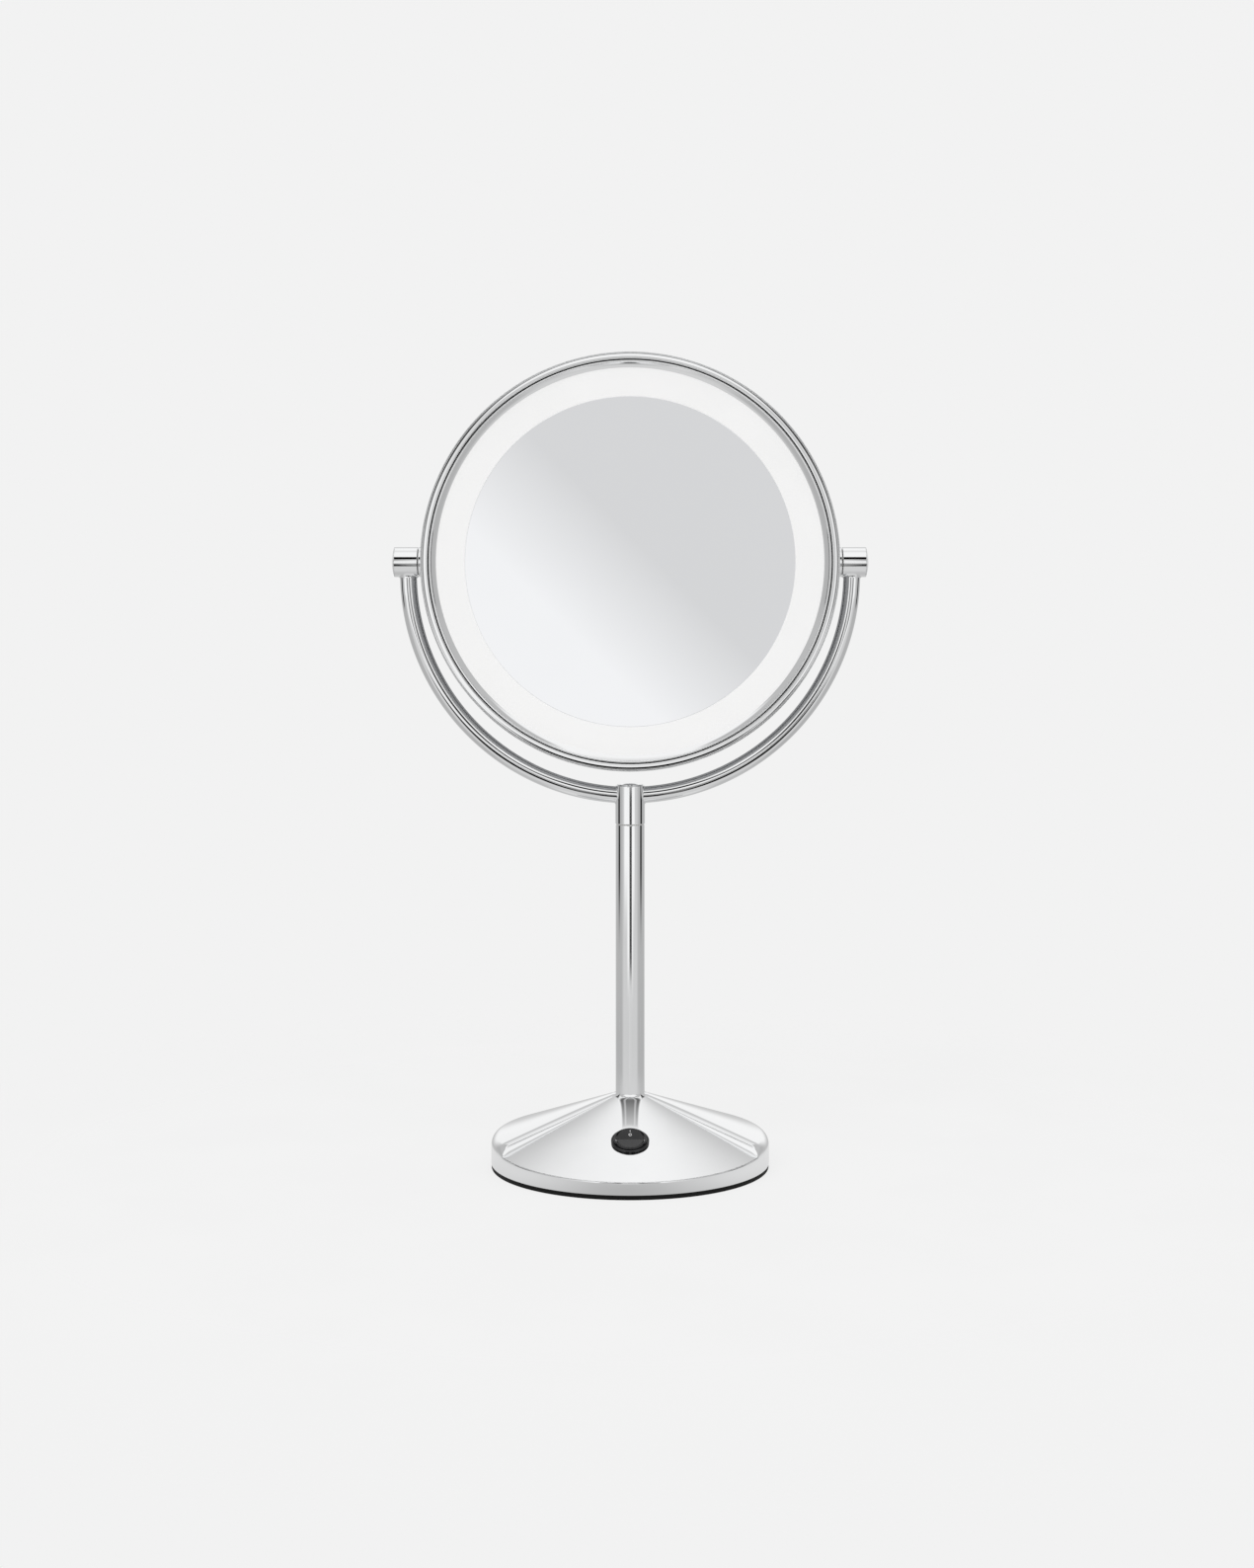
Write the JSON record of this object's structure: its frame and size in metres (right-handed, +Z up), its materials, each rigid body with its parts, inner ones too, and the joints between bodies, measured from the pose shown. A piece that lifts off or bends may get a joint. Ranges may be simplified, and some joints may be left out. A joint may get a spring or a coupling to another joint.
{
  "type": "lighted vanity mirror",
  "caption": "Round two-sided lighted make-up mirror that tilts in a tubular chrome yoke, on a slim swivelling post with a round battery base and rocker switch.",
  "frame": {"origin": "centre of the base's resting plane, on the post's axis", "axes": "+Z up along the post, -Y out of the front of the mirror, X along the tilt axis"},
  "size_m": [0.2116, 0.1232, 0.3606],
  "materials": {
    "chrome": "polished chrome plate",
    "chromed_band": "polished, chrome plated",
    "mirror_glass": "silvered glass",
    "opal_acrylic": "opal white, satin face",
    "black_plastic": "fine grained, moulded",
    "switch_plastic": "satin black",
    "foot_rubber": "matt",
    "steel": "zinc plated",
    "cell_jacket": "printed jacket, plain",
    "brass": "plain",
    "nylon": "natural nylon",
    "white_plastic": "white, reflective",
    "circuit_board": "white solder mask",
    "led": "phosphor yellow",
    "wire": "pvc insulated",
    "foam": "closed-cell foam"
  },
  "bodies": {
    "stand": {"base_shell": "chrome", "base_plate": "black_plastic", "foot_ring": "foot_rubber", "ballast_ring": "steel", "battery_holder": "black_plastic", "batteries": "cell_jacket", "battery_contacts": "steel", "battery_springs": "steel", "base_screws": "steel", "holder_screws": "steel", "switch_housing": "switch_plastic", "rocker_pin": "steel", "switch_terminals": "brass", "post_tube": "chrome", "post_foot_plug": "steel", "threaded_nipple": "steel", "foot_nut": "steel", "foot_washer": "steel", "post_bush": "nylon", "swivel_washer": "nylon", "base_wires": "wire"},
    "yoke": {"hub": "chrome", "hub_cap": "chrome", "swivel_spindle": "steel", "spindle_nut": "steel", "spindle_spring_washer": "steel", "arm_wires": "wire", "left_arm": "chrome", "right_arm": "chrome", "left_barrel": "chrome", "right_barrel": "chrome", "left_barrel_cap": "chrome", "right_barrel_cap": "chrome", "left_friction_washer": "nylon", "right_friction_washer": "nylon"},
    "head": {"left_pivot_boss": "chrome", "right_pivot_boss": "chrome", "left_pivot_pin": "steel", "right_pivot_pin": "steel", "pivot_plates": "steel", "wave_washers": "steel", "pivot_nuts": "steel", "rim_band": "chromed_band", "front_bezel": "chrome", "rear_bezel": "chrome", "front_light_ring": "opal_acrylic", "rear_light_ring": "opal_acrylic", "front_mirror": "mirror_glass", "rear_mirror": "mirror_glass", "light_chassis": "white_plastic", "front_led_board": "circuit_board", "rear_led_board": "circuit_board", "front_leds": "led", "rear_leds": "led", "board_screws": "steel", "front_mirror_pad": "foam", "rear_mirror_pad": "foam", "head_wires": "wire"},
    "rocker": {"rocker": "switch_plastic"},
    "battery_cover": {"battery_cover": "black_plastic"}
  },
  "joints": [
    {"name": "yoke_swivel", "type": "hinge", "parent": "stand", "child": "yoke", "pos_m": [0, 0, 0.1515], "axis": [0, 0, 1], "range_deg": [-170, 170]},
    {"name": "head_tilt", "type": "hinge", "parent": "yoke", "child": "head", "pos_m": [0, 0, 0.268], "axis": [1, 0, 0], "range_deg": [-180, 180]},
    {"name": "rocker_tilt", "type": "hinge", "parent": "stand", "child": "rocker", "pos_m": [0, -0.0358, 0.01869], "axis": [1, 0, 0], "range_deg": [-16, 0]},
    {"name": "battery_cover_twist", "type": "hinge", "parent": "stand", "child": "battery_cover", "pos_m": [0, 0.00275, 0.0027], "axis": [0, 0, 1], "range_deg": [0, 25]}
  ]
}
